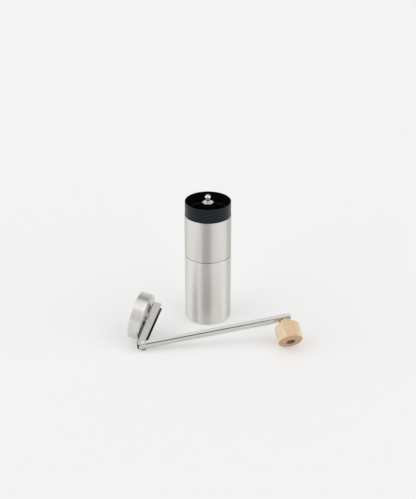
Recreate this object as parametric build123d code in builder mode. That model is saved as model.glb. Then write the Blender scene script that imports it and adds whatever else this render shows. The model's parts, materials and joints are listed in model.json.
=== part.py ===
from build123d import *
import os

# Hand crank coffee grinder. The grinder stands on its base, and its crank lid lies on the
# same surface beside it: the lid leans on its edge, the knob rests on the surface.
# Millimetres. Origin: centre of the canister's base. +Z up.

# ---- Driving dimensions: grinder body --------------------------------------------------
body_radius = 24.5
steel_wall = 1.0
canister_height = 74.0
base_round = 2.9
seam = 0.65                   # dark line between the two steel shells
seam_depth = 0.3
tube_top = 119.9
collar_top = 135.0            # black collar above the steel
collar_radius = 24.0
liner_radius = 23.4           # the collar's part inside the steel
liner_bore = 22.2
collar_bore = 23.3
edge_break = 0.25             # small chamfer on cut steel edges
fit_gap = 0.02                # between still parts that meet
press_gap = 0.05
wall_gap = 0.1

# ---- Driving dimensions: burrs and shaft -----------------------------------------------
shaft_radius = 3.0
running_gap = 0.05            # radial clearance of a shaft in its bush
spigot_radius = 23.2          # housing skirt that plugs into the canister
spigot_bottom = 62.0
burr_seat = 78.0              # ledge that carries the outer burr
burr_ring_top = 94.8
burr_ring_radius = 18.5
burr_bottom = 77.1            # inner burr
burr_top = 91.0
burr_teeth = 12
ring_teeth = 15
nut_corner_radius = 6.15
nut_bottom = 128.5
nut_height = 5.0
ball_radius = 3.25
ball_height = 138.6

# ---- Driving dimensions: crank lid -----------------------------------------------------
lid_radius = 25.0
lid_wall = 0.8
lid_depth = 12.1
lid_round = 1.45
socket_radius = 7.0
socket_bottom = -4.7          # heights on the lid are measured from its outer face
bracket_gap = 1.35            # bracket stands this far off the lid
sheet = 0.9                   # bracket and arm sheet
bend = 1.8                    # outer radius of the bracket's two bends
bracket_width = 12.2
bracket_reach = 17.5          # past the lid's centre
flange_height = 9.56          # above the lid's face, at the lid's centre
flange_rise = 0.031           # slope of the flange's top edge
pin_offset = 30.05            # hinge pin from the lid's axis
pin_height = 7.15             # hinge pin above the lid's face
pin_radius = 1.25
ear_radius = 3.4

# ---- Driving dimensions: arm and knob --------------------------------------------------
arm_width = 9.8
arm_face = 3.05               # knob side of the arm, from the pin's centre
arm_back = -2.18              # open side of the arm
arm_round = 2.3               # bend radius of the arm's two edges
arm_heel = 4.7                # behind the pin
arm_reach = 148.7             # pin to knob axis
arm_end = 154.5
knob_bottom = 3.6             # neck of the knob, from the pin's centre along the knob's axis
knob_end = 27.8
knob_corner_radius = 13.2
knob_neck_radius = 6.3
axle_radius = 2.0

# ---- Driving dimensions: how the crank lid lies ----------------------------------------
pin_place = (-66.7, -75.1, 6.98)      # axis of the pin that hinges the bracket
arm_heading = 9.0             # turn of the arm about the vertical
arm_pitch = 7.09              # rise of the arm towards the knob
arm_roll = 124.0              # turn of the arm about its own length
fold_angle = 59.3             # arm open from its place in the bracket

# ---- Frames ----------------------------------------------------------------------------
# Arm frame: x along the arm, y along the pin, z towards the knob, origin on the pin.
arm_place = Location(pin_place) * Rotation(0, 0, arm_heading)
arm_place = arm_place * Rotation(0, -arm_pitch, 0) * Rotation(arm_roll, 0, 0)
arm_frame = Plane(arm_place)
knob_frame = Plane(arm_place * Location((arm_reach, 0, 0)))
# Lid frame: x from the hinge across the lid, z out of the lid, origin on the lid's face.
lid_frame = Plane(arm_place * Rotation(0, fold_angle, 0) * Location((pin_offset, 0, -pin_height)))


def side_of(frame):
    """The plane through a frame's x and z axes, for profiles seen from the side."""
    return Plane(origin=frame.origin, x_dir=frame.x_dir, z_dir=-frame.y_dir)


def axis_of(frame):
    return Axis(frame.origin, frame.z_dir)


def ring(frame, bottom, top, outer, inner):
    """A plain tube or washer about a frame's z axis."""
    with BuildPart() as piece:
        with BuildSketch(frame.offset(bottom)):
            Circle(outer)
            Circle(inner, mode=Mode.SUBTRACT)
        extrude(amount=top - bottom)
    return piece


def turned(frame, outline):
    """A solid of revolution about a frame's z axis, from (radius, height) points."""
    with BuildPart() as piece:
        with BuildSketch(side_of(frame)):
            with BuildLine():
                Polyline(*outline, close=True)
            make_face()
        revolve(axis=axis_of(frame))
    return piece


def bridge(spokes, hub, outer, rim, hub_radius, bore):
    """A spider that holds a shaft bush. Spokes and hub are (bottom, top) heights."""
    spoke_width = 3.2
    with BuildPart() as piece:
        with BuildSketch(Plane.XY.offset(spokes[0])):
            Circle(outer)
            Circle(outer - rim, mode=Mode.SUBTRACT)
            with PolarLocations((hub_radius + outer - rim) / 2, 3, start_angle=90):
                Rectangle(outer - hub_radius, spoke_width)
        extrude(amount=spokes[1] - spokes[0])
        with BuildSketch(Plane.XY.offset(hub[0])):
            Circle(hub_radius)
        extrude(amount=hub[1] - hub[0])
        with BuildSketch(Plane.XY.offset(hub[0])):
            Circle(bore)
        extrude(amount=hub[1] - hub[0], mode=Mode.SUBTRACT)
    return piece


# ---- Steel shells ----------------------------------------------------------------------
with BuildPart() as catch_canister:
    Cylinder(body_radius, canister_height, align=(Align.CENTER, Align.CENTER, Align.MIN))
    fillet(catch_canister.edges().group_by(Axis.Z)[0], base_round)
    offset(amount=-steel_wall, openings=catch_canister.faces().sort_by(Axis.Z)[-1])
    chamfer(catch_canister.edges().group_by(Axis.Z)[-1], edge_break)

with BuildPart() as upper_tube:
    with BuildSketch(Plane.XY.offset(canister_height + seam)):
        Circle(body_radius)
        Circle(body_radius - steel_wall, mode=Mode.SUBTRACT)
    extrude(amount=tube_top - canister_height - seam)
    chamfer(upper_tube.edges().group_by(Axis.Z)[0], edge_break)
    chamfer(upper_tube.edges().group_by(Axis.Z)[-1], edge_break)

# ---- Hopper: a tube that ends in a funnel over the burrs --------------------------------
funnel_top = 111.0
funnel_bottom = 100.0
neck_radius = 14.5
neck_wall = 1.6
liner_bottom = 95.0
collar_step = 124.0           # the bore widens up to here
with BuildPart() as hopper_liner:
    with BuildSketch(Plane.XZ):
        with BuildLine():
            Polyline(
                (liner_radius, liner_bottom),
                (liner_radius, tube_top + press_gap),
                (collar_radius, tube_top + press_gap),
                (collar_radius, collar_top),
                (collar_bore, collar_top),
                (collar_bore, collar_step),
                (liner_bore, collar_step - 2),
                (liner_bore, funnel_top),
                (neck_radius, funnel_bottom),
                (neck_radius, liner_bottom),
                (neck_radius + neck_wall, liner_bottom),
                (neck_radius + neck_wall, funnel_bottom - neck_wall / 2),
                (liner_bore, funnel_top - 2 * neck_wall),
                (liner_bore, liner_bottom),
                close=True,
            )
        make_face()
    revolve(axis=Axis.Z)
    rim_round = 0.25
    fillet(hopper_liner.edges().group_by(Axis.Z)[-1], rim_round)

# ---- Burr housing: holds the outer burr and plugs into the canister ---------------------
housing_bore = 16.5
skirt_bore = 20.5
skirt_top = 72.0
seal_height = 68.0
seal_wire = 0.9
seal_radius = 22.5
seal_groove = 1.0
with BuildPart() as burr_housing:
    with BuildSketch(Plane.XZ):
        with BuildLine():
            Polyline(
                (spigot_radius, spigot_bottom),
                (spigot_radius, canister_height + press_gap),
                (body_radius - seam_depth, canister_height + press_gap),
                (body_radius - seam_depth, canister_height + seam - fit_gap),
                (liner_radius, canister_height + seam - fit_gap),
                (liner_radius, liner_bottom - wall_gap),
                (burr_ring_radius + wall_gap, liner_bottom - wall_gap),
                (burr_ring_radius + wall_gap, burr_seat - press_gap),
                (housing_bore, burr_seat - press_gap),
                (housing_bore, skirt_top + 1),
                (skirt_bore, skirt_top - 2),
                (skirt_bore, spigot_bottom),
                close=True,
            )
        make_face()
        with Locations((spigot_radius, seal_height)):
            groove_depth = spigot_radius - seal_radius + seal_wire
            Rectangle(2 * groove_depth, 2 * seal_groove, mode=Mode.SUBTRACT)
    revolve(axis=Axis.Z)
    chamfer(burr_housing.edges().group_by(Axis.Z)[0], edge_break)

with BuildPart() as seal_ring:
    with Locations((0, 0, seal_height)):
        Torus(seal_radius, seal_wire)

# ---- Burrs: a fluted cone that turns inside a fluted ring -------------------------------
ring_throat = 12.9
ring_mouth = 14.25
throat_height = 84.5
ring_flute = 1.8              # width of one flute of the outer burr
ring_flute_length = 14.0
ring_flute_height = 89.8
ring_flute_lean = 25
with BuildPart() as outer_burr:
    with BuildSketch(Plane.XZ):
        with BuildLine():
            Polyline(
                (ring_mouth, burr_seat),
                (burr_ring_radius, burr_seat),
                (burr_ring_radius, burr_ring_top),
                (neck_radius, burr_ring_top),
                (ring_throat, burr_top + 1),
                (ring_throat, throat_height),
                close=True,
            )
        make_face()
    revolve(axis=Axis.Z)
    with PolarLocations(ring_throat, ring_teeth):
        with Locations((0, 0, ring_flute_height)):
            flute_turn = (ring_flute_lean, 0, 45)
            Box(ring_flute, ring_flute, ring_flute_length, rotation=flute_turn, mode=Mode.SUBTRACT)

hub_bore = shaft_radius + running_gap
hub_radius = 5.0
hub_flange_radius = 8.5
hub_flange_bottom = 76.0
hub_top = 87.0
key_flat = 2.4                # the shaft's flat, from its axis
cone_bottom = 14.2            # radii and heights of the inner burr's cone
cone_land = 14.0
cone_middle = 12.0
cone_middle_height = 83.0
cone_top = 6.8
cone_flute = 2.4
cone_flute_length = 22.0
cone_flute_radius = 12.3
cone_flute_height = 84.0
cone_flute_lean = -28
with BuildPart() as inner_burr:
    with BuildSketch(Plane.XZ):
        with BuildLine():
            Polyline(
                (hub_radius + running_gap, burr_bottom),
                (cone_bottom, burr_bottom),
                (cone_land, burr_bottom + 1),
                (cone_middle, cone_middle_height),
                (cone_top, burr_top),
                (hub_radius + running_gap, burr_top),
                close=True,
            )
        make_face()
    revolve(axis=Axis.Z)
    with PolarLocations(cone_flute_radius, burr_teeth):
        with Locations((0, 0, cone_flute_height)):
            flute_turn = (cone_flute_lean, 0, 45)
            Box(cone_flute, cone_flute, cone_flute_length, rotation=flute_turn, mode=Mode.SUBTRACT)


def keyed_bore():
    """Outline of the shaft with its flat, with running clearance."""
    Circle(hub_bore)
    with Locations((key_flat + running_gap + hub_bore, 0)):
        Rectangle(2 * hub_bore, 2 * hub_bore, mode=Mode.SUBTRACT)


with BuildPart() as burr_hub:
    with BuildSketch(Plane.XY.offset(hub_flange_bottom)):
        Circle(hub_flange_radius)
    extrude(amount=burr_bottom - running_gap - hub_flange_bottom)
    with BuildSketch(Plane.XY.offset(hub_flange_bottom)):
        Circle(hub_radius)
    extrude(amount=hub_top - hub_flange_bottom)
    with BuildSketch(Plane.XY.offset(hub_flange_bottom)):
        keyed_bore()
    extrude(amount=hub_top - hub_flange_bottom, mode=Mode.SUBTRACT)

plate_bottom = 75.5
plate_top = 75.9
plate_radius = 7.0
plate_ear = (2.4, 3.0)
with BuildPart() as click_plate:
    with BuildSketch(Plane.XY.offset(plate_bottom)):
        Circle(plate_radius)
        with PolarLocations(plate_radius + 0.5, 3):
            Rectangle(*plate_ear)
        with BuildSketch(mode=Mode.SUBTRACT):
            keyed_bore()
    extrude(amount=plate_top - plate_bottom)

adjuster_bottom = 70.0
adjuster_radius = 9.0
notches = 18
notch_radius = 1.0
boss_radius = 4.6
boss_depth = 1.2
with BuildPart() as adjuster_nut:
    with BuildSketch(Plane.XY.offset(adjuster_bottom)):
        Circle(adjuster_radius)
        with PolarLocations(adjuster_radius + 0.4 * notch_radius, notches):
            Circle(notch_radius, mode=Mode.SUBTRACT)
        Circle(hub_bore, mode=Mode.SUBTRACT)
    extrude(amount=plate_bottom - wall_gap - adjuster_bottom)
    with BuildSketch(Plane.XY.offset(adjuster_bottom)):
        Circle(boss_radius)
        Circle(hub_bore, mode=Mode.SUBTRACT)
    extrude(amount=-boss_depth)

# ---- Shaft, its bushes and what drives it ----------------------------------------------
shaft_bottom = 67.5
shoulder_bottom = 119.7
shoulder_radius = 4.0
stub_radius = 2.4
clip_bottom = 94.0
clip_top = 94.5
clip_groove = 0.6
flat_top = 92.0               # the flat ends under the clip
with BuildPart() as drive_shaft:
    with BuildSketch(Plane.XZ):
        with BuildLine():
            Polyline(
                (0, shaft_bottom),
                (shaft_radius, shaft_bottom),
                (shaft_radius, clip_bottom),
                (shaft_radius - clip_groove, clip_bottom),
                (shaft_radius - clip_groove, clip_top),
                (shaft_radius, clip_top),
                (shaft_radius, shoulder_bottom),
                (shoulder_radius, shoulder_bottom),
                (shoulder_radius, nut_bottom),
                (stub_radius, nut_bottom),
                (stub_radius, nut_bottom + nut_height),
                (0, nut_bottom + nut_height),
                close=True,
            )
        make_face()
    revolve(axis=Axis.Z)
    with BuildSketch(Plane.XY.offset(shaft_bottom)):
        with Locations((key_flat + shaft_radius, 0)):
            Rectangle(2 * shaft_radius, 3 * shaft_radius)
    extrude(amount=flat_top - shaft_bottom, mode=Mode.SUBTRACT)
    chamfer(drive_shaft.edges().group_by(Axis.Z)[0], edge_break)

with BuildPart() as drive_nut:
    with BuildSketch(Plane.XY.offset(nut_bottom + fit_gap)):
        RegularPolygon(nut_corner_radius, 6)
        Circle(stub_radius + fit_gap, mode=Mode.SUBTRACT)
    extrude(amount=nut_height - 2 * fit_gap)
    corner_cut = 0.7
    with BuildSketch(Plane.XZ, mode=Mode.PRIVATE) as nut_envelope:
        with BuildLine():
            Polyline(
                (0, nut_bottom),
                (nut_corner_radius - corner_cut, nut_bottom),
                (nut_corner_radius, nut_bottom + corner_cut / 2),
                (nut_corner_radius, nut_bottom + nut_height - corner_cut / 2),
                (nut_corner_radius - corner_cut, nut_bottom + nut_height),
                (0, nut_bottom + nut_height),
                close=True,
            )
        make_face()
    revolve(nut_envelope.sketch, axis=Axis.Z, mode=Mode.INTERSECT)

ball_neck_radius = 1.9
with BuildPart() as ball_cap:
    with BuildSketch(Plane.XY.offset(nut_bottom + nut_height)):
        Circle(ball_neck_radius)
    extrude(amount=ball_height - nut_bottom - nut_height)
    with Locations((0, 0, ball_height)):
        Sphere(ball_radius)

upper_spokes = (111.5, 115.5)
upper_hub = (109.0, 117.9)
upper_hub_radius = 7.2
upper_rim = 1.4
upper_bush_radius = 5.0
upper_bridge = bridge(
    upper_spokes,
    upper_hub,
    liner_bore - wall_gap,
    upper_rim,
    upper_hub_radius,
    upper_bush_radius + press_gap,
)
lower_spokes = (95.3, 98.3)
lower_hub = (94.9, 99.5)
lower_hub_radius = 5.8
lower_rim = 1.2
lower_bush_radius = 4.4
lower_bridge = bridge(
    lower_spokes,
    lower_hub,
    neck_radius - wall_gap,
    lower_rim,
    lower_hub_radius,
    lower_bush_radius + press_gap,
)

bush_flange_radius = 6.4
bush_flange_bottom = 118.0
bush_flange_top = 119.0
upper_bush = turned(
    Plane.XY,
    [
        (hub_bore, upper_hub[0]),
        (upper_bush_radius, upper_hub[0]),
        (upper_bush_radius, bush_flange_bottom),
        (bush_flange_radius, bush_flange_bottom),
        (bush_flange_radius, bush_flange_top),
        (hub_bore, bush_flange_top),
    ],
)
lower_bush = ring(Plane.XY, lower_hub[0], lower_hub[1], lower_bush_radius, hub_bore)
washer_radius = 6.0
thrust_bottom = bush_flange_top + wall_gap
thrust_washer = ring(Plane.XY, thrust_bottom, shoulder_bottom - wall_gap, washer_radius, hub_bore)
washer_bottom = 93.5
spring_washer = ring(Plane.XY, washer_bottom, clip_bottom - press_gap, washer_radius, hub_bore)

clip_radius = 4.3
clip_mouth = 3.4
with BuildPart() as shaft_clip:
    with BuildSketch(Plane.XY.offset(clip_bottom + fit_gap)):
        Circle(clip_radius)
        Circle(shaft_radius - clip_groove + fit_gap, mode=Mode.SUBTRACT)
        with Locations((0, clip_radius)):
            Rectangle(clip_mouth, 2 * clip_radius, mode=Mode.SUBTRACT)
    extrude(amount=clip_top - clip_bottom - 2 * fit_gap)

wire_radius = 0.4
coil_radius = 4.1
coil_pitch = 1.35
coil_bottom = hub_top + wire_radius + press_gap
coil_top = washer_bottom - wire_radius - press_gap
with BuildPart() as burr_spring:
    with BuildLine():
        coil = Helix(coil_pitch, coil_top - coil_bottom, coil_radius, center=(0, 0, coil_bottom))
    with BuildSketch(Plane(origin=coil @ 0, z_dir=coil % 0)):
        Circle(wire_radius)
    sweep(is_frenet=True)

# ---- Lid -------------------------------------------------------------------------------
bush_hole = 8.0
with BuildPart(lid_frame) as lid_shell:
    Cylinder(lid_radius, lid_depth, align=(Align.CENTER, Align.CENTER, Align.MAX))
    fillet(lid_shell.edges().group_by(axis_of(lid_frame))[-1], lid_round)
    offset(amount=-lid_wall, openings=lid_shell.faces().sort_by(axis_of(lid_frame))[0])
    with BuildSketch(lid_frame):
        Circle(bush_hole)
    extrude(amount=-2 * lid_wall, mode=Mode.SUBTRACT)
    chamfer(lid_shell.edges().group_by(axis_of(lid_frame))[0], edge_break)

bush_bottom = -2.6
bush_radius = 10.5
bush_top = -0.05
socket_bore = socket_radius + running_gap
lid_bush = turned(
    lid_frame,
    [
        (socket_bore, bush_bottom),
        (bush_radius, bush_bottom),
        (bush_radius, -lid_wall - press_gap),
        (bush_hole - wall_gap, -lid_wall - press_gap),
        (bush_hole - wall_gap, bush_top),
        (socket_bore, bush_top),
    ],
)

# ---- Drive socket: hexagon below for the nut, round bore above for the ball --------------
socket_flange = 9.2
flange_top = -3.05
hex_top = 0.5
ball_bore = 3.45
rivet_radius = 4.15
rivet_top = 4.0
groove_radius = 3.8
groove_bottom = 1.7           # just under the ball's middle when the lid is on
groove_top = 2.2
web_top = bracket_gap + sheet
hexagon_gap = 0.17
lock_radius = 4.9
lock_top = 3.6
with BuildPart() as drive_socket:
    with BuildSketch(side_of(lid_frame)):
        with BuildLine():
            Polyline(
                (ball_bore, socket_bottom),
                (socket_flange, socket_bottom),
                (socket_flange, flange_top),
                (socket_radius, flange_top),
                (socket_radius, bracket_gap - fit_gap),
                (rivet_radius, bracket_gap - fit_gap),
                (rivet_radius, rivet_top),
                (ball_bore, rivet_top),
                (ball_bore, groove_top),
                (groove_radius, groove_top),
                (groove_radius, groove_bottom),
                (ball_bore, groove_bottom),
                close=True,
            )
        make_face()
    revolve(axis=axis_of(lid_frame))
    with BuildSketch(lid_frame.offset(socket_bottom)):
        RegularPolygon(nut_corner_radius + hexagon_gap, 6)
    extrude(amount=hex_top - socket_bottom, mode=Mode.SUBTRACT)

washer_low = flange_top + fit_gap
socket_washer = ring(lid_frame, washer_low, bush_bottom - fit_gap, socket_flange, socket_bore)
lock_ring = ring(lid_frame, web_top + fit_gap, lock_top, lock_radius, rivet_radius + fit_gap)

grip_radius = 2.9             # a little under the ball's radius
grip_mouth = 2.4
with BuildPart() as ball_clip:
    with BuildSketch(lid_frame.offset(groove_bottom + fit_gap)):
        Circle(groove_radius - press_gap)
        Circle(grip_radius, mode=Mode.SUBTRACT)
        with Locations((0, groove_radius)):
            Rectangle(grip_mouth, 2 * groove_radius, mode=Mode.SUBTRACT)
    extrude(amount=groove_top - groove_bottom - 2 * fit_gap)

# ---- Bracket: a channel across the lid, with ears for the hinge pin ----------------------
bracket_back = -pin_offset - ear_radius
ear_place = (-pin_offset, pin_height)
far_round = 3.4               # corners of the bracket's two flanges
near_round = 1.2
boss_radius = 8.4             # raised ring round the socket, under the bracket
boss_bottom = 0.25
boss_top = 1.9
across_lid = Plane(origin=lid_frame.origin, x_dir=lid_frame.y_dir, z_dir=lid_frame.x_dir)
with BuildPart() as crank_bracket:
    with BuildSketch(side_of(lid_frame)) as bracket_side:
        with BuildLine():
            Polyline(
                (bracket_back, bracket_gap),
                (bracket_reach, bracket_gap),
                (bracket_reach, flange_height + flange_rise * bracket_reach),
                (-pin_offset, flange_height - flange_rise * pin_offset),
                (bracket_back, pin_height),
                close=True,
            )
        make_face()
        with Locations(ear_place):
            Circle(ear_radius)
        far_corner = bracket_side.vertices().sort_by(axis_of(lid_frame))[-1]
        fillet(far_corner, far_round)
        near_corner = bracket_side.vertices().group_by(Axis(lid_frame.origin, lid_frame.x_dir))[0]
        fillet(near_corner.sort_by(axis_of(lid_frame))[0], near_round)
    extrude(amount=bracket_width / 2, both=True)
    with BuildSketch(across_lid.offset(-2 * pin_offset)) as bracket_section:
        with Locations((0, bracket_gap)):
            Rectangle(bracket_width, 2 * flange_height, align=(Align.CENTER, Align.MIN))
        fillet(bracket_section.vertices().group_by(axis_of(lid_frame))[0], bend)
    extrude(amount=4 * pin_offset, mode=Mode.INTERSECT)
    with BuildSketch(lid_frame.offset(boss_bottom)):
        Circle(boss_radius)
    extrude(amount=boss_top - boss_bottom)
    with BuildSketch(lid_frame.offset(boss_bottom)):
        Circle(socket_radius + fit_gap)
    extrude(amount=bracket_gap - boss_bottom, mode=Mode.SUBTRACT)
    with BuildSketch(across_lid.offset(-2 * pin_offset)) as bracket_hollow:
        with Locations((0, web_top)):
            Rectangle(bracket_width - 2 * sheet, 2 * flange_height, align=(Align.CENTER, Align.MIN))
        fillet(bracket_hollow.vertices().group_by(axis_of(lid_frame))[0], bend - sheet)
    extrude(amount=4 * pin_offset, mode=Mode.SUBTRACT)
    with BuildSketch(side_of(lid_frame)):
        with Locations(ear_place):
            Circle(pin_radius + fit_gap)
    extrude(amount=bracket_width, both=True, mode=Mode.SUBTRACT)
    with BuildSketch(lid_frame):
        Circle(rivet_radius + fit_gap)
    extrude(amount=2 * web_top, mode=Mode.SUBTRACT)

pin_frame = Plane(origin=arm_frame.origin, x_dir=arm_frame.x_dir, z_dir=arm_frame.y_dir)
head_radius = 2.1
head_height = 0.7
head_taper = 25
with BuildPart(pin_frame) as hinge_pin:
    Cylinder(pin_radius, bracket_width + wall_gap)
    head_seat = bracket_width / 2 + fit_gap
    with BuildSketch(pin_frame.offset(head_seat)):
        Circle(head_radius)
    extrude(amount=head_height, taper=head_taper)
    with BuildSketch(pin_frame.offset(-head_seat)):
        Circle(head_radius)
    extrude(amount=-head_height, taper=head_taper)

washer_face = arm_width / 2 + press_gap
washer_thickness = bracket_width / 2 - sheet - washer_face - press_gap
hinge_washer_radius = 2.9
with BuildPart() as hinge_washers:
    for start, thickness in ((washer_face, washer_thickness), (-washer_face, -washer_thickness)):
        with BuildSketch(pin_frame.offset(start)):
            Circle(hinge_washer_radius)
            Circle(pin_radius + running_gap, mode=Mode.SUBTRACT)
        extrude(amount=thickness)

# ---- Arm: a channel, closed on the knob's side -------------------------------------------
heel_round = 2.28
across_arm = Plane(origin=arm_frame.origin, x_dir=arm_frame.y_dir, z_dir=arm_frame.x_dir)
with BuildPart() as crank_arm:
    with BuildSketch(side_of(arm_frame)) as arm_side:
        with BuildLine():
            Polyline(
                (-arm_heel, arm_back),
                (arm_end, arm_back),
                (arm_end, arm_face),
                (-arm_heel, arm_face),
                close=True,
            )
        make_face()
        heel_corners = arm_side.vertices().group_by(Axis(arm_frame.origin, arm_frame.x_dir))[0]
        fillet(heel_corners.sort_by(axis_of(arm_frame))[0], heel_round)
    extrude(amount=arm_width / 2, both=True)
    top_face = crank_arm.faces().sort_by(axis_of(arm_frame))[-1]
    long_edges = top_face.edges().filter_by(Axis(arm_frame.origin, arm_frame.x_dir))
    fillet(long_edges, arm_round)
    with BuildSketch(across_arm.offset(-2 * arm_heel)) as arm_hollow:
        with Locations((0, arm_face - sheet)):
            Rectangle(arm_width - 2 * sheet, 2 * arm_width, align=(Align.CENTER, Align.MAX))
        fillet(arm_hollow.vertices().group_by(axis_of(arm_frame))[-1], arm_round - sheet)
    extrude(amount=2 * arm_end, mode=Mode.SUBTRACT)
    with BuildSketch(side_of(arm_frame)):
        Circle(pin_radius + running_gap)
    extrude(amount=arm_width, both=True, mode=Mode.SUBTRACT)
    with BuildSketch(knob_frame):
        Circle(axle_radius + fit_gap)
    extrude(amount=2 * arm_face, mode=Mode.SUBTRACT)

# ---- Knob and its axle -------------------------------------------------------------------
bore_floor = 16.4
counterbore = 4.75
sleeve_radius = 3.1
knob_round = 1.9
shoulder_height = 10.6
knob_turn = 10                # turn of the eight flats about the knob's axis
flat_round = 2.0              # rounding between two flats
neck_edge = 0.4               # rounding of the edge beside the washer
neck_top = knob_bottom + 1.6  # the neck is straight up to here
waist_radius = knob_neck_radius + 1.3
waist_height = knob_bottom + 2.9
knob_shoulder_radius = knob_corner_radius - 1.6
knob_shoulder_bottom = shoulder_height - 1.8
knob_shoulder_top = shoulder_height + 1.4
knob_girth = knob_corner_radius + 0.1    # just outside the corners of the eight sides
rim_radius = knob_corner_radius - 0.5    # on the rounded far edge
rim_height = knob_end - 1.1
rim_bottom = knob_end - 2.6
face_radius = knob_corner_radius - knob_round - 0.6
with BuildPart() as wooden_knob:
    with BuildSketch(knob_frame.offset(knob_bottom)) as knob_section:
        RegularPolygon(knob_corner_radius, 8, rotation=knob_turn)
        fillet(knob_section.vertices(), flat_round)
    extrude(amount=knob_end - knob_bottom)
    with BuildSketch(side_of(knob_frame), mode=Mode.PRIVATE) as knob_envelope:
        with BuildLine():
            neck = Polyline(
                (knob_neck_radius, neck_top),
                (knob_neck_radius, knob_bottom + neck_edge),
                (knob_neck_radius - neck_edge, knob_bottom),
                (0, knob_bottom),
                (0, knob_end),
                (face_radius, knob_end),
            )
            end_edge = Spline(
                neck @ 1,
                (rim_radius, rim_height),
                (knob_girth, rim_bottom),
                tangents=((1, 0), (0.05, -1)),
            )
            side = Line(end_edge @ 1, (knob_girth, knob_shoulder_top))
            Spline(
                side @ 1,
                (knob_shoulder_radius, knob_shoulder_bottom),
                (waist_radius, waist_height),
                neck @ 0,
                tangents=((0, -1), (0, -1)),
            )
        make_face()
    revolve(knob_envelope.sketch, axis=axis_of(knob_frame), mode=Mode.INTERSECT)
    with BuildSketch(knob_frame.offset(knob_bottom)):
        Circle(sleeve_radius + fit_gap)
    extrude(amount=knob_end, mode=Mode.SUBTRACT)
    with BuildSketch(knob_frame.offset(bore_floor)):
        Circle(counterbore)
    extrude(amount=knob_end, mode=Mode.SUBTRACT)

knob_washer_radius = 4.8
axle_bore = axle_radius + running_gap
washer_low = arm_face + fit_gap
knob_washer = ring(knob_frame, washer_low, knob_bottom - press_gap, knob_washer_radius, axle_bore)
sleeve_low = knob_bottom + press_gap
knob_sleeve = ring(knob_frame, sleeve_low, bore_floor - wall_gap, sleeve_radius, axle_bore)

axle_bottom = -1.4
head_bottom = bore_floor + wall_gap
head_top = head_bottom + 2.4
axle_head_radius = 4.1
key_radius = 1.9              # hexagon for the key that tightens the axle
key_depth = 1.2
with BuildPart() as knob_axle:
    with BuildSketch(knob_frame.offset(axle_bottom)):
        Circle(axle_radius)
    extrude(amount=head_bottom - axle_bottom)
    with BuildSketch(knob_frame.offset(head_bottom)):
        Circle(axle_head_radius)
    extrude(amount=head_top - head_bottom)
    with BuildSketch(knob_frame.offset(head_top - key_depth)):
        RegularPolygon(key_radius, 6)
    extrude(amount=key_depth, mode=Mode.SUBTRACT)

axle_nut_bottom = -1.1
axle_nut_radius = 3.3
with BuildPart() as axle_nut:
    with BuildSketch(knob_frame.offset(axle_nut_bottom)):
        RegularPolygon(axle_nut_radius, 6)
        Circle(axle_radius + fit_gap, mode=Mode.SUBTRACT)
    extrude(amount=arm_face - sheet - fit_gap - axle_nut_bottom)

# ---- Hand out the pieces -----------------------------------------------------------------
pieces = {
    "catch_canister": catch_canister,
    "upper_tube": upper_tube,
    "hopper_liner": hopper_liner,
    "burr_housing": burr_housing,
    "seal_ring": seal_ring,
    "outer_burr": outer_burr,
    "upper_bridge": upper_bridge,
    "lower_bridge": lower_bridge,
    "upper_bush": upper_bush,
    "lower_bush": lower_bush,
    "drive_shaft": drive_shaft,
    "thrust_washer": thrust_washer,
    "drive_nut": drive_nut,
    "ball_cap": ball_cap,
    "shaft_clip": shaft_clip,
    "spring_washer": spring_washer,
    "burr_spring": burr_spring,
    "burr_hub": burr_hub,
    "inner_burr": inner_burr,
    "click_plate": click_plate,
    "adjuster_nut": adjuster_nut,
    "lid_shell": lid_shell,
    "lid_bush": lid_bush,
    "socket_washer": socket_washer,
    "drive_socket": drive_socket,
    "ball_clip": ball_clip,
    "lock_ring": lock_ring,
    "crank_bracket": crank_bracket,
    "hinge_pin": hinge_pin,
    "hinge_washers": hinge_washers,
    "crank_arm": crank_arm,
    "knob_washer": knob_washer,
    "knob_axle": knob_axle,
    "axle_nut": axle_nut,
    "knob_sleeve": knob_sleeve,
    "wooden_knob": wooden_knob,
}
os.makedirs("parts", exist_ok=True)
for name, piece in pieces.items():
    piece.part.label = name
    export_step(piece.part, f"parts/{name}.step")
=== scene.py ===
"""Looks of the hand crank coffee grinder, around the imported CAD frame.

Places are in metres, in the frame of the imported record. Inside the materials, and in the
sizes marked so below, lengths are in millimetres.
"""
import json
import math

import bpy
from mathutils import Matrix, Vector

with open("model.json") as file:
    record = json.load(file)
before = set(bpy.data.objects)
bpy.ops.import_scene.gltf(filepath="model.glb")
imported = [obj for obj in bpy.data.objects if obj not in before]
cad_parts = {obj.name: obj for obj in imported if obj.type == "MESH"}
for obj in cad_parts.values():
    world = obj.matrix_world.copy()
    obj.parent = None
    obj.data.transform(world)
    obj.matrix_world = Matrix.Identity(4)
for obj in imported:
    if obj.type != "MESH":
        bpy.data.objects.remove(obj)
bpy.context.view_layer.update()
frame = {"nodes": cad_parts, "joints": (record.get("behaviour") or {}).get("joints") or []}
joints = {j["name"]: j for j in frame["joints"]}
MM = 1000.0                               # millimetres in a metre

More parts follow.
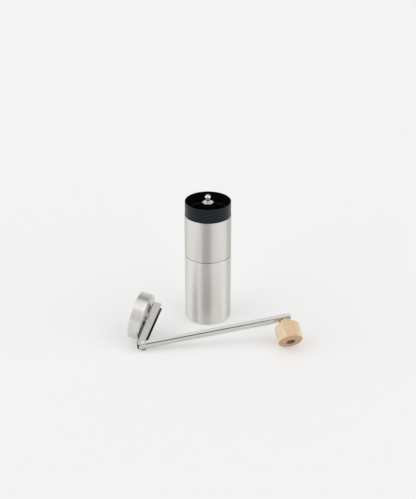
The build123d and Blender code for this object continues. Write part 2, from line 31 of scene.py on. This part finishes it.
# ---- Camera and studio -----------------------------------------------------------------
CAMERA_PLACE = (-0.0046, -1.069, 0.619)   # from the centre of the grinder's base
CAMERA_DROP = 26.82                       # degrees below the horizon
CAMERA_TURN = -0.25                       # degrees, to the left of straight ahead
CAMERA_LENS = 81.9                        # mm
SENSOR = 36.0                             # mm, the sensor's long side
CAMERA_REACH = 100.0                      # far clipping distance
FLOOR_HALF = 12.0
FLOOR_COLOUR = (0.58, 0.58, 0.585)
FLOOR_ROUGH = 0.9
FLOOR_SHINE = 0.1
FLOOR_GLOW = 0.33                         # lifts the contact shadows
LIGHT = 0.985                             # all of the studio's levels are times this
SIDES = 1.62
FRONT = 1.4
FRONT_LOW = 1.15
BACK_HIGH = 0.45
BACK_LOW = 0.75
CORNER = 0.45                             # right, behind
CEILING = 1.0
GAP = 0.21                                # level of the dark gap in front
GAP_WAY = (-0.125, -0.992)                # across the floor, from the grinder to the gap
GAP_EDGE = (0.893, 0.945)                 # cosines of the angle from the gap's middle
STUDIO_COLOUR = (1.0, 0.995, 0.985)
GAP_COLOUR = (1.0, 0.93, 0.84)

# ---- Colours ---------------------------------------------------------------------------
STEEL = (0.735, 0.725, 0.695)             # brushed round an axis
SHEET = (0.68, 0.675, 0.655)              # the arm's sheet
BRACKET = (0.53, 0.525, 0.505)
# Painted shade: a near-black colour inside the bracket's channel and under its web
BRACKET_PAINTED_SHADE = (0.10, 0.095, 0.09)
# Painted shade: a near-black colour inside the arm's channel
ARM_PAINTED_SHADE = (0.03, 0.029, 0.028)
DARK_NECK = (0.05, 0.048, 0.046)
BALL = (0.66, 0.65, 0.62)
BURR = (0.45, 0.44, 0.43)
COFFEE = (0.16, 0.1, 0.06)
COLLAR = (0.003, 0.0034, 0.0042)
COLLAR_SHEEN = (0.80, 0.91, 1.0)
HOUSING = (0.006, 0.006, 0.0065)
INNER_BLACK = (0.02, 0.02, 0.021)
DIAL_BLACK = (0.03, 0.03, 0.031)
RUBBER = (0.016, 0.016, 0.016)
NYLON = (0.62, 0.60, 0.55)
WOOD_PALE = (0.80, 0.665, 0.49)
WOOD_WARM = (0.71, 0.525, 0.325)
WOOD_BLOTCH = (0.70, 0.47, 0.31)
WOOD_RING = (0.62, 0.43, 0.25)
WOOD_FIBRE = (0.60, 0.41, 0.25)
WOOD_FLECK = (0.50, 0.30, 0.17)
WOOD_END = (0.47, 0.285, 0.165)
WOOD_BORE = (0.33, 0.17, 0.09)

# ---- Sizes in millimetres --------------------------------------------------------------
WORN_EDGE = (0.15, 0.9)                   # from a rim, where its polish starts to fade and ends
LID_FLAT = 22.0                           # radius of the lid's flat top
COLLAR_BORE = 23.3                        # radius
NECK = (135.2, 137.0)                     # heights of the dark ring under the ball
SHEET_THICKNESS = 0.9
BEND = 1.8                                # outer radius of the bracket's bends
BOSS_CLEAR = 9.0                          # the ring under the bracket is inside this radius
KNOB_BORE = 4.75                          # radius
KNOB_END = (2.2, 0.5)                     # below the knob's end, where its cut grain begins
PITH = (31.0, 12.0)                       # the tree's heart, off the knob's axis
RING_RATE = 1.9                           # radians of the wood's rings in a millimetre
RING_SWING = 14.0                         # radians that the rings wander by


class Tree:
    """Builds a node tree in short lines: each call adds a node and returns its output."""

    def __init__(self, tree):
        self.tree = tree
        tree.nodes.clear()

    def node(self, kind, **settings):
        made = self.tree.nodes.new("ShaderNode" + kind)
        for key, value in settings.items():
            setattr(made, key, value)
        return made

    def put(self, socket, value):
        if isinstance(value, bpy.types.NodeSocket):
            self.tree.links.new(value, socket)
        else:
            socket.default_value = value

    def math(self, operation, a, b=0.0):
        made = self.node("Math", operation=operation)
        self.put(made.inputs[0], a)
        self.put(made.inputs[1], b)
        return made.outputs[0]

    def vector(self, operation, a, b=(0, 0, 0), scale=None):
        made = self.node("VectorMath", operation=operation)
        self.put(made.inputs[0], a)
        self.put(made.inputs[1], b)
        if scale is not None:
            self.put(made.inputs["Scale"], scale)
        return made.outputs["Value" if operation in ("DOT_PRODUCT", "LENGTH") else "Vector"]

    def combine(self, x, y, z):
        made = self.node("CombineXYZ")
        for socket, value in zip(made.inputs, (x, y, z)):
            self.put(socket, value)
        return made.outputs[0]

    def radius(self, x, y):
        """Distance from a frame's z axis."""
        return self.vector("LENGTH", self.combine(x, y, 0.0))

    def distance(self, value, level):
        """How far a value is from a level."""
        return self.math("ABSOLUTE", self.math("SUBTRACT", value, level))

    def noise(self, parts, per_mm, detail=2.0, rough=0.5):
        """Noise of place; per_mm is how fast it runs along x, y and z."""
        made = self.node("TexNoise")
        scaled = [self.math("MULTIPLY", part, f) for part, f in zip(parts, per_mm)]
        self.put(made.inputs["Vector"], self.combine(*scaled))
        self.put(made.inputs["Scale"], 1.0)
        self.put(made.inputs["Detail"], detail)
        self.put(made.inputs["Roughness"], rough)
        return made.outputs["Fac"]

    def span(self, value, low, high, to_low=0.0, to_high=1.0, smooth=True):
        """Maps low to high onto to_low to to_high, and holds the ends."""
        made = self.node("MapRange", interpolation_type="SMOOTHSTEP" if smooth else "LINEAR")
        for socket, v in zip(made.inputs, (value, low, high, to_low, to_high)):
            self.put(socket, v)
        return made.outputs[0]

    def fade(self, value, start, end):
        """1 up to start, and 0 from end on."""
        return self.span(value, start, end, 1.0, 0.0)

    def blend(self, factor, a, b):
        """Between two numbers."""
        return self.span(factor, 0.0, 1.0, a, b, smooth=False)

    def vary(self, value, around, spread):
        """Around a number, by up to half the spread, following a 0 to 1 value."""
        return self.blend(value, around - spread / 2, around + spread / 2)

    def mix(self, factor, a, b):
        """Between two colours."""
        made = self.node("Mix", data_type="RGBA")
        self.put(made.inputs[0], factor)
        self.put(made.inputs[6], a if isinstance(a, bpy.types.NodeSocket) else (*a, 1))
        self.put(made.inputs[7], b if isinstance(b, bpy.types.NodeSocket) else (*b, 1))
        return made.outputs[2]

    def bump(self, height, distance, strength):
        made = self.node("Bump")
        self.put(made.inputs["Height"], height)
        self.put(made.inputs["Distance"], distance)
        self.put(made.inputs["Strength"], strength)
        return made.outputs[0]


def material(name, metallic=0.0):
    """A new material with a Principled shader, as (material, tree, shader)."""
    made = bpy.data.materials.new(name)
    made.use_nodes = True
    tree = Tree(made.node_tree)
    shader = tree.node("BsdfPrincipled")
    shader.inputs["Metallic"].default_value = metallic
    output = tree.node("OutputMaterial")
    tree.tree.links.new(shader.outputs[0], output.inputs[0])
    return made, tree, shader


def shades(colour, factor):
    """A colour made lighter or darker."""
    return [min(1.0, c * factor) for c in colour]


# ---- Frames of the three straight things: grinder, lid, and arm with knob ----------------
def side_frame(origin, z_dir, y_dir):
    """A frame with its z along z_dir and its y near y_dir."""
    z_dir = Vector(z_dir).normalized()
    y_dir = Vector(y_dir).normalized()
    x_dir = y_dir.cross(z_dir).normalized()
    return Vector(origin), x_dir, z_dir.cross(x_dir), z_dir


pin_dir = -Vector(joints["arm_fold"]["axis"])
body_base = (Vector((0, 0, 0)), Vector((1, 0, 0)), Vector((0, 1, 0)), Vector((0, 0, 1)))
lid_base = side_frame(joints["lid_swivel"]["pos_m"], joints["lid_swivel"]["axis"], pin_dir)
knob_base = side_frame(joints["knob_spin"]["pos_m"], joints["knob_spin"]["axis"], pin_dir)


def local(tree, base):
    """Object coordinates in a frame (origin, x, y, z), in millimetres."""
    origin, *ways = base
    place = tree.node("TexCoord").outputs["Object"]
    place = tree.vector("SUBTRACT", place, tuple(origin))
    place = tree.vector("SCALE", place, scale=MM)
    return [tree.vector("DOT_PRODUCT", place, tuple(way)) for way in ways]


def points(node, base):
    """A node's vertices in a frame, in millimetres."""
    origin, *ways = base
    vertices = frame["nodes"][node].data.vertices
    return [[(v.co - origin).dot(way) * MM for way in ways] for v in vertices]


def height_range(node, base):
    """Lowest and highest height (mm) of a node along a frame's z axis."""
    heights = [z for x, y, z in points(node, base)]
    return min(heights), max(heights)


# ---- Materials ---------------------------------------------------------------------------
def turned_steel(name, base, colour, rough, flat=1.0):
    """Sheet steel brushed round an axis, with its two rims polished by wear. Its flat top gets a
    painted shade: its colour there is scaled by the factor flat."""
    made, t, shader = material(name, metallic=1.0)
    x, y, z = place = local(t, base)
    low, high = height_range(name, base)
    fine = t.noise(place, (0.05, 0.05, 6.0), detail=4.0, rough=0.65)
    broad = t.noise(place, (0.03, 0.03, 1.6), detail=3.0)
    patch = t.noise(place, (0.045, 0.045, 0.045))
    streak = t.math("ADD", t.math("MULTIPLY", fine, 0.7), t.math("MULTIPLY", broad, 0.3))
    near_low = t.fade(t.distance(z, low), *WORN_EDGE)
    near_high = t.fade(t.distance(z, high), *WORN_EDGE)
    rims = t.math("MAXIMUM", near_low, near_high)
    worn = t.math("MULTIPLY", rims, t.span(patch, 0.3, 0.7, 0.4, 1.0))

    shade = t.mix(t.span(streak, 0.3, 0.7), shades(colour, 0.955), shades(colour, 1.035))
    # Painted shade: the flat top's colour is scaled by the factor flat.
    on_top = t.fade(t.distance(z, high), 0.05, 0.2)
    inner = t.fade(t.radius(x, y), LID_FLAT, LID_FLAT + 1.0)
    shade = t.mix(t.math("MULTIPLY", on_top, inner), shade, shades(colour, flat))
    shade = t.mix(t.math("MULTIPLY", worn, 0.25), shade, shades(colour, 1.2))
    t.put(shader.inputs["Base Color"], shade)
    roughness = t.span(streak, 0.25, 0.75, rough - 0.03, rough + 0.03)
    roughness = t.math("ADD", roughness, t.vary(patch, 0.0, 0.05))
    roughness = t.math("SUBTRACT", roughness, t.math("MULTIPLY", worn, 0.1))
    t.put(shader.inputs["Roughness"], roughness)
    t.put(shader.inputs["Normal"], t.bump(streak, 0.000004, 0.35))

    # The brush marks run round the axis, so the gloss is drawn out along it.
    origin, _, _, axis = base
    arm = t.vector("SUBTRACT", t.node("TexCoord").outputs["Object"], tuple(origin))
    around = t.vector("CROSS_PRODUCT", tuple(axis), arm)
    turned = t.node("VectorTransform", vector_type="VECTOR", convert_from="OBJECT", convert_to="WORLD")
    t.put(turned.inputs[0], around)
    normal = t.node("NewGeometry").outputs["Normal"]
    across = t.vector("CROSS_PRODUCT", normal, turned.outputs[0])
    t.put(shader.inputs["Tangent"], t.vector("NORMALIZE", across))
    shader.inputs["Anisotropic"].default_value = 0.96
    return made


def sheet_steel(name, base, colour, rough, painted_shade_part, painted_shade_colour):
    """Bent sheet steel brushed along x of a frame. painted_shade_part(tree, x, y, z) says where shade
    is
    painted: there the sheet is painted a dark colour and left unbrushed, standing in for the shade
    inside a channel, or underneath."""
    made, t, shader = material(name, metallic=1.0)
    x, y, z = place = local(t, base)
    fine = t.noise(place, (0.05, 3.2, 3.2), detail=3.0, rough=0.6)
    patch = t.noise(place, (0.12, 0.12, 0.12), detail=3.0)
    # Painted shade: where this mask is 1, the sheet's colour is painted dark.
    painted_shade = painted_shade_part(t, x, y, z)
    bright = t.mix(t.span(fine, 0.3, 0.7), shades(colour, 0.93), shades(colour, 1.06))
    t.put(shader.inputs["Base Color"], t.mix(painted_shade, bright, painted_shade_colour))
    roughness = t.span(fine, 0.25, 0.75, rough - 0.04, rough + 0.05)
    roughness = t.math("ADD", roughness, t.vary(patch, 0.0, 0.06))
    roughness = t.math("ADD", roughness, t.math("MULTIPLY", painted_shade, 0.2))
    t.put(shader.inputs["Roughness"], roughness)
    t.put(shader.inputs["Normal"], t.bump(fine, 0.000006, 0.4))
    return made


def polished(name, colour, rough, ring=None):
    """Bright turned steel with hairline scratches, dark between the two heights of ring."""
    made, t, shader = material(name, metallic=1.0)
    place = local(t, body_base)
    hair = t.noise(place, (0.48, 0.48, 3.6), detail=4.0, rough=0.7)
    smudge = t.noise(place, (0.25, 0.25, 0.25))
    shade = t.mix(t.span(smudge, 0.3, 0.7), shades(colour, 0.94), shades(colour, 1.04))
    if ring:
        low, high = ring
        above = t.span(place[2], low - 0.1, low + 0.1)
        below = t.span(place[2], high + 0.1, high - 0.1)
        shade = t.mix(t.math("MULTIPLY", above, below), shade, DARK_NECK)
    t.put(shader.inputs["Base Color"], shade)
    roughness = t.span(hair, 0.4, 0.75, rough, rough + 0.1)
    t.put(shader.inputs["Roughness"], t.math("ADD", roughness, t.math("MULTIPLY", smudge, 0.04)))
    t.put(shader.inputs["Normal"], t.bump(hair, 0.000004, 0.35))
    return made


def moulded(name, colour, rough, worn, grain=6.0):
    """Moulded plastic with a fine spark-eroded texture, lighter by worn in patches."""
    made, t, shader = material(name)
    place = local(t, body_base)
    skin = t.noise(place, (grain, grain, grain), detail=3.0, rough=0.6)
    patch = t.noise(place, (0.12, 0.12, 0.12), detail=3.0)
    lighter = [c + worn for c in colour]
    t.put(shader.inputs["Base Color"], t.mix(t.span(patch, 0.35, 0.75), colour, lighter))
    roughness = t.span(skin, 0.3, 0.7, rough - 0.05, rough + 0.05)
    t.put(shader.inputs["Roughness"], t.math("ADD", roughness, t.vary(patch, 0.0, 0.1)))
    t.put(shader.inputs["Normal"], t.bump(skin, 0.00003, 0.35))
    return made


def collar_black():
    """The hopper's satin black, duller inside."""
    made, t, shader = material("hopper_liner")
    x, y, z = place = local(t, body_base)
    skin = t.noise(place, (6.0, 6.0, 6.0), detail=3.0, rough=0.6)
    patch = t.noise(place, (0.12, 0.12, 0.12), detail=3.0)
    t.put(shader.inputs["Base Color"], t.mix(t.span(patch, 0.35, 0.75), COLLAR, shades(COLLAR, 1.4)))
    outside = t.span(t.radius(x, y), COLLAR_BORE + 0.05, COLLAR_BORE + 0.25)
    t.put(shader.inputs["Specular IOR Level"], t.blend(outside, 0.05, 0.28))
    shader.inputs["Specular Tint"].default_value = (*COLLAR_SHEEN, 1)
    t.put(shader.inputs["Roughness"], t.span(skin, 0.3, 0.7, 0.31, 0.41))
    t.put(shader.inputs["Normal"], t.bump(skin, 0.00003, 0.35))
    return made


def ground_steel(name, colour):
    """Tool steel with grinding marks and a little coffee dust, for the burrs."""
    made, t, shader = material(name, metallic=1.0)
    place = local(t, body_base)
    marks = t.noise(place, (2.5, 2.5, 0.3), detail=4.0, rough=0.65)
    dust = t.noise(place, (0.6, 0.6, 0.6), detail=4.0, rough=0.6)
    shade = t.mix(t.span(marks, 0.3, 0.7), shades(colour, 0.8), shades(colour, 1.15))
    t.put(shader.inputs["Base Color"], t.mix(t.span(dust, 0.62, 0.8, 0.0, 0.35), shade, COFFEE))
    t.put(shader.inputs["Roughness"], t.span(marks, 0.25, 0.75, 0.25, 0.45))
    t.put(shader.inputs["Normal"], t.bump(marks, 0.00003, 0.5))
    return made


def beech(name, base):
    """Oiled beech with its grain along the knob's axis, darker where it is cut across."""
    made, t, shader = material(name)
    x, y, z = place = local(t, base)
    end_height = height_range(name, base)[1]
    wander = t.noise(place, (0.12, 0.12, 0.03))
    fibre = t.noise(place, (3.2, 3.2, 0.16), detail=4.0, rough=0.6)
    fleck = t.noise(place, (1.5, 1.5, 0.36), detail=1.0)
    tone = t.noise(place, (0.10, 0.10, 0.035))
    blotch = t.noise(place, (0.33, 0.33, 0.12), detail=3.0)
    from_pith = t.radius(t.math("ADD", x, PITH[0]), t.math("ADD", y, PITH[1]))
    swing = t.math("MULTIPLY", wander, RING_SWING)
    rings = t.math("SINE", t.math("ADD", t.math("MULTIPLY", from_pith, RING_RATE), swing))

    shade = t.mix(t.span(tone, 0.38, 0.62), WOOD_PALE, WOOD_WARM)
    shade = t.mix(t.span(blotch, 0.5, 0.72, 0.0, 0.5), shade, WOOD_BLOTCH)
    shade = t.mix(t.span(rings, -0.2, 1.0, 0.0, 0.22), shade, WOOD_RING)
    shade = t.mix(t.span(fibre, 0.45, 0.75, 0.0, 0.3), shade, WOOD_FIBRE)
    shade = t.mix(t.span(fleck, 0.58, 0.68, 0.0, 0.5), shade, WOOD_FLECK)
    cut = t.span(z, end_height - KNOB_END[0], end_height - KNOB_END[1])
    shade = t.mix(t.math("MULTIPLY", cut, 0.82), shade, WOOD_END)
    in_bore = t.fade(t.radius(x, y), KNOB_BORE + 0.1, KNOB_BORE + 0.4)
    shade = t.mix(t.math("MULTIPLY", in_bore, 0.75), shade, WOOD_BORE)
    t.put(shader.inputs["Base Color"], shade)
    t.put(shader.inputs["Roughness"], t.span(fibre, 0.3, 0.7, 0.36, 0.5))
    shader.inputs["Specular IOR Level"].default_value = 0.35
    shader.inputs["Subsurface Weight"].default_value = 0.06
    shader.inputs["Subsurface Radius"].default_value = (0.002, 0.0012, 0.0006)
    ridges = t.math("ADD", fibre, t.math("MULTIPLY", fleck, -0.6))
    t.put(shader.inputs["Normal"], t.bump(ridges, 0.00006, 0.5))
    return made


# ---- Where shade is painted in the two channels ------------------------------------------
bracket = points("crank_bracket", lid_base)
web_bottom = min(z for x, y, z in bracket if math.hypot(x, y) > BOSS_CLEAR)
boss_radius = max(math.hypot(x, y) for x, y, z in bracket if z < web_bottom - 0.1)
bracket_inner = max(abs(y) for x, y, z in bracket if z > web_bottom + BEND) - SHEET_THICKNESS
arm = points("crank_arm", knob_base)
arm_face = max(z for x, y, z in arm)
arm_inner = max(abs(y) for x, y, z in arm) - SHEET_THICKNESS


def between_flanges(t, y, inner):
    """1 between the inner sides of a channel's flanges, their surfaces included."""
    return t.fade(t.math("ABSOLUTE", y), inner + 0.05, inner + 0.15)


def bracket_painted_shade(t, x, y, z):
    """Where shade is painted on the bracket: the inner sides of its flanges, and what faces the lid.
    """
    above = t.span(z, web_bottom + 0.2, web_bottom + 0.3)
    channel = t.math("MULTIPLY", between_flanges(t, y, bracket_inner), above)
    under = t.fade(z, web_bottom + 0.25 * BEND, web_bottom + 0.5 * BEND)
    off_boss = t.span(t.distance(t.radius(x, y), boss_radius), 0.1, 0.2)
    return t.math("MAXIMUM", channel, t.math("MULTIPLY", under, off_boss))


def arm_painted_shade(t, x, y, z):
    """Where shade is painted on the arm: the inner sides of its channel."""
    behind_face = t.span(z, arm_face - 0.7, arm_face - 0.8)
    return t.math("MULTIPLY", between_flanges(t, y, arm_inner), behind_face)


# ---- Every CAD node's material -----------------------------------------------------------
def paint(node, made):
    """Gives every slot of a CAD node the material."""
    slots = frame["nodes"][node].material_slots
    if not slots:
        frame["nodes"][node].data.materials.append(made)
    for s in slots:
        s.material = made


# Painted light: the canister's steel is painted 5% lighter than the same steel on the tube.
paint("catch_canister", turned_steel("catch_canister", body_base, shades(STEEL, 1.05), 0.41))
paint("upper_tube", turned_steel("upper_tube", body_base, STEEL, 0.46))
# The lid's flat top is painted 20% darker, a painted shade.
paint("lid_shell", turned_steel("lid_shell", lid_base, STEEL, 0.31, flat=0.8))
paint("crank_arm", sheet_steel("crank_arm", knob_base, SHEET, 0.11, arm_painted_shade, ARM_PAINTED_SHADE))
paint(
    "crank_bracket",
    sheet_steel("crank_bracket", lid_base, BRACKET, 0.17, bracket_painted_shade, BRACKET_PAINTED_SHADE),
)
paint("hopper_liner", collar_black())
paint("burr_housing", moulded("burr_housing", HOUSING, 0.6, 0.003))
for node in ("upper_bridge", "lower_bridge", "burr_hub", "lid_bush"):
    paint(node, moulded(node, INNER_BLACK, 0.5, 0.006))
paint("adjuster_nut", moulded("adjuster_nut", DIAL_BLACK, 0.5, 0.01, grain=4.0))
paint("seal_ring", moulded("seal_ring", RUBBER, 0.7, 0.004, grain=3.0))
for node in ("upper_bush", "lower_bush", "socket_washer", "hinge_washers", "knob_sleeve"):
    paint(node, moulded(node, NYLON, 0.45, 0.03, grain=3.0))

for node, colour, rough in (
    ("drive_shaft", (0.24, 0.235, 0.23), 0.2),
    ("thrust_washer", (0.6, 0.59, 0.58), 0.22),
    ("drive_nut", (0.76, 0.75, 0.72), 0.12),
    ("shaft_clip", (0.35, 0.35, 0.36), 0.3),
    ("spring_washer", (0.5, 0.5, 0.5), 0.28),
    ("burr_spring", (0.55, 0.55, 0.56), 0.22),
    ("click_plate", (0.55, 0.55, 0.55), 0.25),
    ("drive_socket", (0.62, 0.61, 0.6), 0.24),
    ("ball_clip", (0.4, 0.4, 0.41), 0.28),
    ("lock_ring", (0.6, 0.6, 0.6), 0.22),
    ("hinge_pin", (0.68, 0.67, 0.66), 0.18),
    ("knob_washer", (0.5, 0.5, 0.5), 0.3),
    ("knob_axle", (0.42, 0.41, 0.4), 0.3),
    ("axle_nut", (0.5, 0.5, 0.5), 0.28),
):
    paint(node, polished(node, colour, rough))
paint("ball_cap", polished("ball_cap", BALL, 0.06, ring=NECK))
for node in ("outer_burr", "inner_burr"):
    paint(node, ground_steel(node, BURR))
paint("wooden_knob", beech("wooden_knob", knob_base))


# ---- Floor, light and camera -------------------------------------------------------------
def floor():
    """A plain pale floor."""
    half = FLOOR_HALF
    corners = [(-half, -half, 0), (half, -half, 0), (half, half, 0), (-half, half, 0)]
    mesh = bpy.data.meshes.new("floor")
    mesh.from_pydata(corners, [], [(0, 1, 2, 3)])
    made = bpy.data.objects.new("floor", mesh)
    bpy.context.scene.collection.objects.link(made)
    paper, _, shader = material("paper")
    shader.inputs["Base Color"].default_value = (*FLOOR_COLOUR, 1)
    shader.inputs["Roughness"].default_value = FLOOR_ROUGH
    shader.inputs["Specular IOR Level"].default_value = FLOOR_SHINE
    shader.inputs["Emission Color"].default_value = (1, 1, 1, 1)
    shader.inputs["Emission Strength"].default_value = FLOOR_GLOW
    mesh.materials.append(paper)


def studio_light():
    """A soft studio seen in the steel: bright sides and ceiling, a darker back, and a dark
    gap in front. Heights are sines of elevation, turns are cosines from straight behind."""
    world = bpy.data.worlds.new("studio")
    bpy.context.scene.world = world
    world.use_nodes = True
    t = Tree(world.node_tree)
    split = t.node("SeparateXYZ")
    t.put(split.inputs[0], t.node("TexCoord").outputs["Generated"])
    x, y, z = split.outputs
    across = t.math("MAXIMUM", t.radius(x, y), 0.001)
    behind = t.math("DIVIDE", y, across)
    right = t.math("DIVIDE", x, across)
    to_gap = t.math("MULTIPLY", behind, GAP_WAY[1])
    to_gap = t.math("ADD", to_gap, t.math("MULTIPLY", right, GAP_WAY[0]))

    front = t.span(z, 0.09, 0.42, FRONT_LOW, FRONT)
    back = t.span(z, 0.52, 0.62, BACK_LOW, BACK_HIGH)
    level = t.blend(t.span(behind, -0.70, -0.82), SIDES, front)
    level = t.blend(t.span(behind, 0.40, 0.60), level, back)
    corner = t.math("MULTIPLY", t.span(behind, 0.12, 0.28), t.span(behind, 0.80, 0.72))
    corner = t.math("MULTIPLY", corner, t.span(right, 0.0, 0.2))
    level = t.blend(corner, level, CORNER)
    gap = t.math("MULTIPLY", t.span(to_gap, *GAP_EDGE), t.span(z, 0.91, 0.85))
    level = t.blend(gap, level, GAP)
    level = t.blend(t.span(z, 0.86, 0.93), level, CEILING)
    background = t.node("Background")
    t.put(background.inputs["Color"], t.mix(gap, STUDIO_COLOUR, GAP_COLOUR))
    t.put(background.inputs["Strength"], t.math("MULTIPLY", level, LIGHT))
    output = t.node("OutputWorld")
    t.tree.links.new(background.outputs[0], output.inputs[0])


def camera():
    data = bpy.data.cameras.new("camera")
    data.lens = CAMERA_LENS
    data.sensor_width = SENSOR
    data.clip_end = CAMERA_REACH
    made = bpy.data.objects.new("camera", data)
    bpy.context.scene.collection.objects.link(made)
    made.location = CAMERA_PLACE
    made.rotation_euler = (math.radians(90 - CAMERA_DROP), 0, math.radians(CAMERA_TURN))
    bpy.context.scene.camera = made


floor()
studio_light()
camera()
bpy.context.scene.view_settings.view_transform = "Standard"
